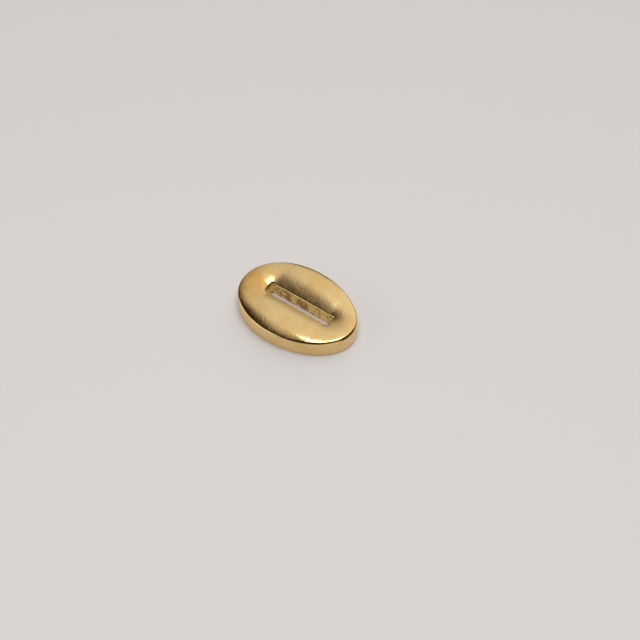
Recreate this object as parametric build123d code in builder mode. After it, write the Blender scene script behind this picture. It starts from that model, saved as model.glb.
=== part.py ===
"""Oval buckle slider: one solid brass casting, with a slot that a strap runs through."""

import os
from math import cos, hypot, pi, sin

from build123d import *

# Plan outline: an oval that is a little blunter at its -X end
length = 34.0
width = 24.0
blunt_end = 0.075           # extra half-width at the -X end, as a share of the half-width
outline_points = 32

# Heights above the flat base
edge_height = 4.5           # where the domed face would meet the side wall, if the edge were sharp
dome_rise = 1.3             # the dome above that edge, before the dish is taken out of it
dome_power = 4.5            # higher is a flatter face with a tighter shoulder
blank_height = 8.0          # the blank that the face is cut from

# Dish: the face sinks towards the slot
dish_depth = 3.05
dish_reach = 10.0           # from the slot's centre line to where the dish has died out
dish_softness = 1.0         # rounds the dish's valley, inside the slot

# Slot for the strap, straight through
slot_length = 19.8
slot_width = 3.1
slot_offset = 0.6           # towards +Y
slot_corner = 0.5

# Rounded edges
top_edge_radius = 0.6
base_edge_radius = 0.35
lip_radius = 0.4
slot_base_radius = 0.3

# Grid of points that the face is drawn through, larger than the outline
face_columns = 45
face_rows = 33
face_margin = 1.12


def half_width_at(x):
    """Half the oval's width scale at x, wider towards the -X end."""
    return width / 2 * (1 - blunt_end * x / (length / 2))


def outline_point(angle):
    """One point of the plan outline."""
    x = length / 2 * cos(angle)
    return (x, half_width_at(x) * sin(angle))


def face_height(x, y):
    """Height of the face: a dome that is flat in the middle, less the dish along the slot."""
    share = hypot(x / (length / 2), y / half_width_at(x))
    past_end = max(abs(x) - (slot_length - slot_width) / 2, 0.0)
    from_slot = hypot(past_end, y - slot_offset, dish_softness)
    dish = dish_depth * max(1 - from_slot / dish_reach, 0.0) ** 2
    return edge_height + dome_rise * (1 - share**dome_power) - dish


def face_grid():
    """Rows of points on the face, over a rectangle that covers the whole outline."""
    reach_x = length / 2 * face_margin
    reach_y = width / 2 * (1 + blunt_end) * face_margin
    grid = []
    for column in range(face_columns):
        x = reach_x * (2 * column / (face_columns - 1) - 1)
        row = []
        for step in range(face_rows):
            y = reach_y * (2 * step / (face_rows - 1) - 1)
            row.append(Vector(x, y, face_height(x, y)))
        grid.append(row)
    return grid


def make_slider_body():
    """The whole casting: oval blank, domed and dished face, slot and rounded edges."""
    outline = [outline_point(2 * pi * step / outline_points) for step in range(outline_points)]
    face = Face.make_surface_from_array_of_points(face_grid(), tol=0.005, min_deg=3, max_deg=5)

    with BuildPart() as slider_body:
        with BuildSketch(Plane.XY):
            with BuildLine():
                Spline(*outline, periodic=True)
            make_face()
        extrude(amount=blank_height)
        fillet(slider_body.edges().group_by(Axis.Z)[0], radius=base_edge_radius)

        extrude(to_extrude=face, amount=blank_height, dir=(0, 0, 1), mode=Mode.SUBTRACT)
        fillet(slider_body.edges().group_by(Axis.Z)[-1], radius=top_edge_radius)

        with BuildSketch(Plane.XY):
            with Locations((0, slot_offset)):
                RectangleRounded(slot_length, slot_width, slot_corner)
        extrude(amount=blank_height, mode=Mode.SUBTRACT)

        lip = slider_body.edges(Select.LAST).filter_by_position(Axis.Z, edge_height / 2, blank_height)
        fillet(lip, radius=lip_radius)
        outer_base_edge_last = slider_body.edges().group_by(Axis.Z)[0].sort_by(SortBy.LENGTH)
        fillet(outer_base_edge_last[:-1], radius=slot_base_radius)

    slider_body.part.label = "slider_body"
    return slider_body.part


os.makedirs("parts", exist_ok=True)
slider_body = make_slider_body()
export_step(slider_body, "parts/slider_body.step")
print("slider_body", slider_body.bounding_box(), "volume", round(slider_body.volume, 1), "mm3")
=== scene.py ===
import math

import bpy
from mathutils import Matrix, Vector, noise


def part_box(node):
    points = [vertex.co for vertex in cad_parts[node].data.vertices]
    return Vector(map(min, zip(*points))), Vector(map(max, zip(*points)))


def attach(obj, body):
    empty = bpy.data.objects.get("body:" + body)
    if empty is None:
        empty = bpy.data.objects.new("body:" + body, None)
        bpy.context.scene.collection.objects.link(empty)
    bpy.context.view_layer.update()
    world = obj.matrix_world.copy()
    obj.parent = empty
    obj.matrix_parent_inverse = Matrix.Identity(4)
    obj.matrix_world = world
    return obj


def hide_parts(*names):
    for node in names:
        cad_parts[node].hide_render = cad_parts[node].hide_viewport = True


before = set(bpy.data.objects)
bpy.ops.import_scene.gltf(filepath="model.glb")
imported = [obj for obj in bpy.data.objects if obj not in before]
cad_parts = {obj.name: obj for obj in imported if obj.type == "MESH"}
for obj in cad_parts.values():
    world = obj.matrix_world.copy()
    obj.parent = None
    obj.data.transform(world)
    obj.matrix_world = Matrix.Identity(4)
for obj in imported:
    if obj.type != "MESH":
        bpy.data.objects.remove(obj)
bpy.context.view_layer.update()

# ---------------------------------------------------------------------------------------------
# Slider body
# One solid brass casting, a blunt-ended oval with a domed face that dishes towards its slot.
# Its face is polished, with its edges rubbed round by hand, and the walls of its slot are left
# as cast and have tarnished.
# ---------------------------------------------------------------------------------------------

MM = 0.001

# Plan of the oval, which is a little blunter at its -X end
body_low, body_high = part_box("slider_body")
half_length = (body_high.x - body_low.x) / 2
blunt_end = 0.075
half_width = (body_high.y - body_low.y) / 2 / (1 + blunt_end**2 / 2)

# Face: a dome, with a dish that sinks towards the slot
edge_height = 4.5 * MM
dome_rise = 1.3 * MM
dome_power = 4.5
dish_depth = 3.05 * MM
dish_reach = 10.0 * MM
dish_softness = 1.0 * MM
polishing_wave = 0.004 * MM

# Slot
slot_half_length = 9.9 * MM
slot_half_width = 1.55 * MM
slot_offset = 0.6 * MM
slot_corner = 0.5 * MM

# How far each rounded edge reaches along the surfaces that it joins
lip_reach = 0.4 * MM
lip_wear = 0.18             # how unevenly the lip is rubbed, as a share of its reach
end_lip_wear = 0.6          # how much wider the lip grows round the slot's -X end
end_lip_span = 1.2 * MM     # the length of slot over which it grows
lip_shine = 0.3 * MM        # how far the rub on the lip runs out over the face
cast_fade_steps = 5         # the lip's steps over which the cast skin dies out
edge_reach = 0.44 * MM
worn_edge_reach = 1.1 * MM  # at the +X end, which is rubbed the most
edge_wear = 0.10
base_reach = 0.35 * MM
slot_base_reach = 0.3 * MM

# The rubbed shoulder, as shares of the way from the oval's centre to its outline
shoulder_start = 0.66
shoulder_span = 0.2

# Casting skin on the slot's walls
skin_lumps = 0.022 * MM
file_marks = 0.010 * MM

# How finely the section and its walk round the slot are divided
stations = 480
corner_steps = 7
slot_wall_steps = 24
lip_steps = 9
face_steps = 96
edge_steps = 11
side_steps = 16
under_steps = 22


def half_width_at(x):
    return half_width * (1 - blunt_end * x / half_length)


def face_height(x, y):
    """The domed and dished face, with the slow waves that hand polishing leaves."""
    share = math.hypot(x / half_length, y / half_width_at(x))
    past_end = max(abs(x) - (slot_half_length - slot_half_width), 0.0)
    from_slot = math.hypot(past_end, y - slot_offset, dish_softness)
    dish = dish_depth * max(1 - from_slot / dish_reach, 0.0) ** 2
    wave = polishing_wave * noise.noise(Vector((x, y, 0.0)) / (3.5 * MM))
    return edge_height + dome_rise * (1 - share**dome_power) - dish + wave


def slot_point(x, y):
    """The point of the slot's outline that is nearest to a point outside it."""
    core_x = max(-slot_half_length + slot_corner, min(slot_half_length - slot_corner, x))
    reach = slot_half_width - slot_corner
    core_y = slot_offset + max(-reach, min(reach, y - slot_offset))
    out = Vector((x - core_x, y - core_y)).normalized()
    return Vector((core_x, core_y)) + out * slot_corner


def rounded(start, corner, end, steps):
    """A corner of the section, rounded from start to end. The end itself is left to what follows."""
    for step in range(steps):
        along = step / steps
        yield start * (1 - along) ** 2 + corner * 2 * along * (1 - along) + end * along**2


def straight(start, end, steps):
    """A straight run of the section, without its end."""
    for step in range(steps):
        yield start + (end - start) * step / steps


def section(angle):
    """The section from the slot out to the rim, up the slot's wall, over the face and back under.

    Each point is its distance from the slot and its height, and two shares: as cast and rubbed.
    """
    oval_x = half_length * math.cos(angle)
    oval = Vector((oval_x, half_width_at(oval_x) * math.sin(angle)))
    inner = slot_point(*oval)
    span = (oval - inner).length
    out = (oval - inner) / span

    def on_face(distance):
        place = inner + out * distance
        return Vector((distance, face_height(*place)))

    worn = noise.noise(Vector((*inner, 0.0)) / (1.3 * MM))
    at_end = max(0.0, (-inner.x - (slot_half_length - end_lip_span)) / end_lip_span)
    lip = lip_reach * (1 + lip_wear * worn + end_lip_wear * at_end)
    towards_end = max(0.0, oval_x / half_length) ** 2
    edge = edge_reach + (worn_edge_reach - edge_reach) * towards_end
    edge *= 1 + edge_wear * noise.noise(Vector((*oval, 5 * MM)) / (2.2 * MM))

    foot = Vector((slot_base_reach, 0))
    wall_foot = Vector((0, slot_base_reach))
    lip_top = Vector((0, on_face(0.0).y))
    wall_top = lip_top - Vector((0, lip))
    edge_start = span - edge * 0.9
    rim_top = Vector((span, on_face(span).y))
    side_top = rim_top - Vector((0, edge))
    side_foot = Vector((span, base_reach))
    under_start = Vector((span - base_reach, 0))
    points = []

    def place(flat_points, cast, bright):
        for point in flat_points:
            points.append((point, cast, bright))

    place(rounded(foot, Vector((0, 0)), wall_foot, corner_steps), 1, 0)
    place(straight(wall_foot, wall_top, slot_wall_steps), 1, 0)
    for step, point in enumerate(rounded(wall_top, lip_top, on_face(lip), lip_steps)):
        points.append((point, max(0.0, 1 - step / cast_fade_steps), 1))

    for step in range(face_steps):
        along = step / face_steps
        eased = along * 0.6 + 0.4 * (0.5 - 0.5 * math.cos(math.pi * along))
        distance = lip + (edge_start - lip) * eased
        where = inner + out * distance
        share = math.hypot(where.x / half_length, where.y / half_width_at(where.x))
        shoulder = max(0.0, min(1.0, (share - shoulder_start) / shoulder_span))
        near_lip = max(0.0, 1 - (distance - lip) / lip_shine)
        points.append((on_face(distance), 0, max(shoulder * shoulder * (3 - 2 * shoulder), near_lip)))

    place(rounded(on_face(edge_start), rim_top, side_top, edge_steps), 0, 1)
    place(straight(side_top, side_foot, side_steps), 0, 0.4)
    place(rounded(side_foot, Vector((span, 0)), under_start, corner_steps), 0, 0.7)
    place(straight(under_start, foot, under_steps), 0, 0)
    return inner, out, points


def casting_skin(place):
    """How far the cast skin of the slot's wall stands proud: pits, lumps and a few file marks."""
    lumps = noise.noise(place / (1.1 * MM)) + 0.5 * noise.noise(place / (0.45 * MM))
    files = noise.noise(Vector((place.x / (2.5 * MM), 0.0, place.z / (0.3 * MM))))
    return skin_lumps * lumps + file_marks * files


vertices = []
cast_shares = []
rubbed_shares = []
rows = 0
for station in range(stations):
    inner, out, points = section(2 * math.pi * station / stations)
    rows = len(points)
    for point, cast, bright in points:
        spot = Vector((inner.x + out.x * point.x, inner.y + out.y * point.x, point.y))
        spot += Vector((out.x, out.y, 0)) * casting_skin(spot) * cast
        vertices.append(spot)
        cast_shares.append(float(cast))
        rubbed_shares.append(float(bright))

faces = []
for station in range(stations):
    here = station * rows
    after = (station + 1) % stations * rows
    for row in range(rows):
        above = (row + 1) % rows
        faces.append((here + row, after + row, after + above, here + above))

mesh = bpy.data.meshes.new("slider_body_casting")
mesh.from_pydata(vertices, [], faces)
for name, shares in (("as_cast", cast_shares), ("rubbed", rubbed_shares)):
    layer = mesh.attributes.new(name, "FLOAT", "POINT")
    layer.data.foreach_set("value", shares)
mesh.polygons.foreach_set("use_smooth", [True] * len(mesh.polygons))
mesh.update()
casting = bpy.data.objects.new("slider_body_casting", mesh)
bpy.context.scene.collection.objects.link(casting)


class Wire:
    """A value inside a material or the sky. Wires and numbers add, subtract and multiply as written."""

    tree = None

    def __init__(self, socket):
        self.socket = socket

    @classmethod
    def node(cls, kind, settings, inputs, output=0):
        made = cls.tree.nodes.new(kind)
        for name, value in settings.items():
            setattr(made, name, value)
        for name, value in inputs.items():
            if isinstance(value, Wire):
                cls.tree.links.new(value.socket, made.inputs[name])
            else:
                made.inputs[name].default_value = value
        return cls(made.outputs[output]) if made.outputs else None

    def maths(self, operation, first, second):
        return Wire.node("ShaderNodeMath", {"operation": operation}, {0: first, 1: second})

    def __add__(self, other):
        return self.maths("ADD", self, other)

    def __radd__(self, other):
        return self.maths("ADD", other, self)

    def __sub__(self, other):
        return self.maths("SUBTRACT", self, other)

    def __rsub__(self, other):
        return self.maths("SUBTRACT", other, self)

    def __mul__(self, other):
        return self.maths("MULTIPLY", self, other)

    def __rmul__(self, other):
        return self.maths("MULTIPLY", other, self)


def mix_colours(share, first, second):
    return Wire.node("ShaderNodeMix", {"data_type": "RGBA"}, {0: share, 6: first, 7: second}, 2)


def ramp(value, low, high):
    """0 below low, 1 above high and smooth between. It falls instead when low is the larger."""
    settings = {"clamp": True, "interpolation_type": "SMOOTHSTEP"}
    return Wire.node("ShaderNodeMapRange", settings, {0: value, 1: low, 2: high})


def patches(place, size, detail=3.0, low=0.4, high=0.6):
    """Soft patches of a size in metres, from 0 to 1."""
    inputs = {"Vector": place, "Scale": 1 / size, "Detail": detail}
    return ramp(Wire.node("ShaderNodeTexNoise", {}, inputs), low, high)


def satin_brass():
    """Cast brass: polished on the face, bright where it is rubbed, brown and rough in the slot."""
    material = bpy.data.materials.new("satin_brass")
    material.use_nodes = True
    Wire.tree = material.node_tree
    Wire.tree.nodes.clear()

    place = Wire.node("ShaderNodeTexCoord", {}, {}, "Object")
    as_cast = Wire.node("ShaderNodeAttribute", {"attribute_name": "as_cast"}, {}, "Fac")
    rubbed = Wire.node("ShaderNodeAttribute", {"attribute_name": "rubbed"}, {}, "Fac")

    clean = (0.87, 0.635, 0.30, 1)
    warm = (0.80, 0.50, 0.17, 1)
    cast = (0.95, 0.74, 0.31, 1)
    brown = (0.42, 0.24, 0.06, 1)
    # Orange-brown for the -X end: partly a real stain, partly painted shade there
    stain_and_shade_colour = (0.64, 0.36, 0.09, 1)

    # A soft orange-brown blob round the -X end, near side: partly a real stain, partly painted shade
    # that darkens that end
    stain_and_shade_centre = Vector((-0.86 * half_length, -0.12 * half_width, edge_height))
    stain_and_shade_inputs = {0: place, 1: stain_and_shade_centre}
    from_stain_and_shade = Wire.node("ShaderNodeVectorMath", {"operation": "DISTANCE"}, stain_and_shade_inputs, "Value")
    stain_and_shade = ramp(from_stain_and_shade, 9.5 * MM, 1.5 * MM) * (0.7 + 0.3 * patches(place, 2.2 * MM))
    handled = patches(place, 7 * MM, low=0.45, high=0.7) * 0.55
    colour = mix_colours(handled, clean, warm)
    colour = mix_colours(stain_and_shade * 0.9, colour, stain_and_shade_colour)
    colour = mix_colours(patches(place, 0.5 * MM, low=0.45, high=0.75) * 0.5, colour, warm)
    tarnish = patches(place, 1.5 * MM, detail=5.0, low=0.42, high=0.58)
    colour = mix_colours(as_cast, colour, mix_colours(tarnish, cast, brown))

    satin = 0.17 + 0.05 * patches(place, 2.5 * MM) + 0.04 * patches(place, 0.16 * MM, detail=4.0)
    bright = 0.12 + 0.04 * patches(place, 1.2 * MM)
    roughness = satin + (bright - satin) * rubbed
    roughness = roughness + (0.5 - roughness) * as_cast

    grain_inputs = {"Vector": place, "Scale": 1 / (0.12 * MM), "Detail": 3.0}
    dent_inputs = {"Vector": place, "Scale": 1 / (0.8 * MM), "Detail": 2.0}
    grain = Wire.node("ShaderNodeTexNoise", {}, grain_inputs)
    dents = Wire.node("ShaderNodeTexNoise", {}, dent_inputs)
    relief = grain + dents * 7.0
    bump_inputs = {"Strength": 0.22, "Distance": 0.02 * MM, "Height": relief}
    bump = Wire.node("ShaderNodeBump", {}, bump_inputs, "Normal")

    metallic = 1.0 - 0.6 * as_cast
    metal_inputs = {"Base Color": colour, "Metallic": metallic, "Roughness": roughness, "Normal": bump}
    metal = Wire.node("ShaderNodeBsdfPrincipled", {}, metal_inputs)
    Wire.node("ShaderNodeOutputMaterial", {}, {"Surface": metal})
    return material


casting.data.materials.append(satin_brass())
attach(casting, "root")
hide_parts("slider_body")

# ---------------------------------------------------------------------------------------------
# Floor
# A sheet of plain white card that the slider lies on. It is matt, and it reaches well past
# the view on every side.
# ---------------------------------------------------------------------------------------------

floor_half = 1.5
floor_level = body_low.z - 0.02 * MM
floor_mesh = bpy.data.meshes.new("floor")
corners = ((-1, -1), (1, -1), (1, 1), (-1, 1))
floor_points = [(x * floor_half, y * floor_half, floor_level) for x, y in corners]
floor_mesh.from_pydata(floor_points, [], [(0, 1, 2, 3)])
floor = bpy.data.objects.new("floor", floor_mesh)
bpy.context.scene.collection.objects.link(floor)

card = bpy.data.materials.new("white_card")
card.use_nodes = True
card_shader = card.node_tree.nodes["Principled BSDF"]
card_shader.inputs["Base Color"].default_value = (0.745, 0.72, 0.715, 1)
card_shader.inputs["Roughness"].default_value = 0.6
card_shader.inputs["Specular IOR Level"].default_value = 0.3
floor_mesh.materials.append(card)

# ---------------------------------------------------------------------------------------------
# Backdrop
# Plain pale paper that stands in a ring all round the floor, far behind the slider. It glows
# evenly by itself, and it is kept out of the light that reaches the slider and its metal.
# ---------------------------------------------------------------------------------------------

paper_sides = 72
paper_radius = 1.45
paper_height = 1.5
paper_points = []
for level in (floor_level, paper_height):
    for side in range(paper_sides):
        angle = 2 * math.pi * side / paper_sides
        paper_points.append((paper_radius * math.cos(angle), paper_radius * math.sin(angle), level))
paper_faces = []
for side in range(paper_sides):
    after = (side + 1) % paper_sides
    paper_faces.append((side, after, after + paper_sides, side + paper_sides))
paper_mesh = bpy.data.meshes.new("backdrop")
paper_mesh.from_pydata(paper_points, [], paper_faces)
backdrop = bpy.data.objects.new("backdrop", paper_mesh)
bpy.context.scene.collection.objects.link(backdrop)

paper = bpy.data.materials.new("pale_paper")
paper.use_nodes = True
paper_shader = paper.node_tree.nodes["Principled BSDF"]
paper_shader.inputs["Base Color"].default_value = (0, 0, 0, 1)
paper_shader.inputs["Specular IOR Level"].default_value = 0.0
paper_shader.inputs["Emission Color"].default_value = (0.60, 0.575, 0.56, 1)
paper_shader.inputs["Emission Strength"].default_value = 1.0
paper_mesh.materials.append(paper)
backdrop.visible_diffuse = False
backdrop.visible_glossy = False
backdrop.visible_shadow = False

# ---------------------------------------------------------------------------------------------
# Studio
# A light tent round the slider: a large pale panel behind that fades out overhead and towards
# the left, and low side windows in front. A small softbox overhead draws the highlight on the
# shoulder, and a larger scrim fills the floor and the slot but doesn't show in the metal.
# ---------------------------------------------------------------------------------------------


def softbox(name, centre, turn, wide, tall, radiance):
    """A soft light that faces down onto the floor, turned about its own upright axis."""
    lamp = bpy.data.lights.new(name, "AREA")
    lamp.shape = "RECTANGLE"
    lamp.size = wide
    lamp.size_y = tall
    lamp.energy = radiance * math.pi * wide * tall
    holder = bpy.data.objects.new(name, lamp)
    holder.location = centre
    holder.rotation_euler = (0, 0, math.radians(turn))
    holder.visible_camera = False
    bpy.context.scene.collection.objects.link(holder)
    return holder


softbox("strip_softbox", (0.088, 0.133, 0.9), 50, 0.42, 0.25, 5.0)
scrim = softbox("overhead_scrim", (0.05, -0.32, 0.92), 0, 0.6, 0.6, 3.35)
scrim.visible_glossy = False

world = bpy.data.worlds.new("studio")
bpy.context.scene.world = world
world.use_nodes = True
Wire.tree = world.node_tree
Wire.tree.nodes.clear()
direction = Wire.node("ShaderNodeTexCoord", {}, {}, "Generated")
across = Wire.node("ShaderNodeSeparateXYZ", {}, {"Vector": direction}, "X")
away = Wire.node("ShaderNodeSeparateXYZ", {}, {"Vector": direction}, "Y")
upward = Wire.node("ShaderNodeSeparateXYZ", {}, {"Vector": direction}, "Z")

# The panel behind starts low, ends overhead, is cut back at the left and fades towards it
left_shade = Wire.node("ShaderNodeMath", {"operation": "MINIMUM"}, {0: across + 0.3, 1: 0.0})
panel = ramp(away + left_shade, -0.34, 0.22) * ramp(upward, 0.09, 0.32) * ramp(across, 0.6, 0.25)
fall_off = 0.48 + 0.34 * ramp(across, -0.85, -0.25) + 0.13 * ramp(across, -0.35, 0.05)

# In front, a window at each side and a band of light low down
side_windows = 0.9 * ramp(across, 0.0, -0.4) + 0.5 * ramp(across, 0.45, 0.85)
front = ramp(upward, 0.75, 0.45) * side_windows + ramp(upward, 0.4, 0.1) * 0.3

dark_room = 0.025
light = dark_room + panel * fall_off + front * ramp(away, 0.1, -0.3)
tint = mix_colours(ramp(light, 0.03, 0.5), (1.0, 0.80, 0.55, 1), (1.0, 0.98, 0.965, 1))
glow = Wire.node("ShaderNodeBackground", {}, {"Color": tint, "Strength": light})
Wire.node("ShaderNodeOutputWorld", {}, {"Surface": glow})

# ---------------------------------------------------------------------------------------------
# Camera
# It looks down at the slider from its long side, a little past one end, from about 0.4 m. It
# points a little past the slider, which so lies left of the middle of the view.
# ---------------------------------------------------------------------------------------------

azimuth = math.radians(34.9)
elevation = math.radians(51.0)
roll = math.radians(0.86)
view_angle = math.radians(24.0)
whole_length = 2 * half_length
distance = 11.531 * whole_length
aside = 0.168 * whole_length
below = 0.042 * whole_length

sideways = math.sin(azimuth) * math.cos(elevation)
towards = -math.cos(azimuth) * math.cos(elevation)
back = Vector((sideways, towards, math.sin(elevation)))
level_right = Vector((math.cos(azimuth), math.sin(azimuth), 0))
level_up = back.cross(level_right)
right = level_right * math.cos(roll) + level_up * math.sin(roll)
up = level_up * math.cos(roll) - level_right * math.sin(roll)

lens = bpy.data.cameras.new("camera")
lens.sensor_width = 36.0
lens.lens = lens.sensor_width / 2 / math.tan(view_angle / 2)
lens.clip_start = 0.01
lens.clip_end = 20.0
camera = bpy.data.objects.new("camera", lens)
turn = Matrix((right, up, back)).transposed().to_4x4()
stand = back * distance + right * aside - up * below
camera.matrix_world = Matrix.Translation(stand) @ turn
bpy.context.scene.collection.objects.link(camera)
bpy.context.scene.camera = camera

bpy.context.scene.view_settings.view_transform = "Standard"
bpy.context.view_layer.update()
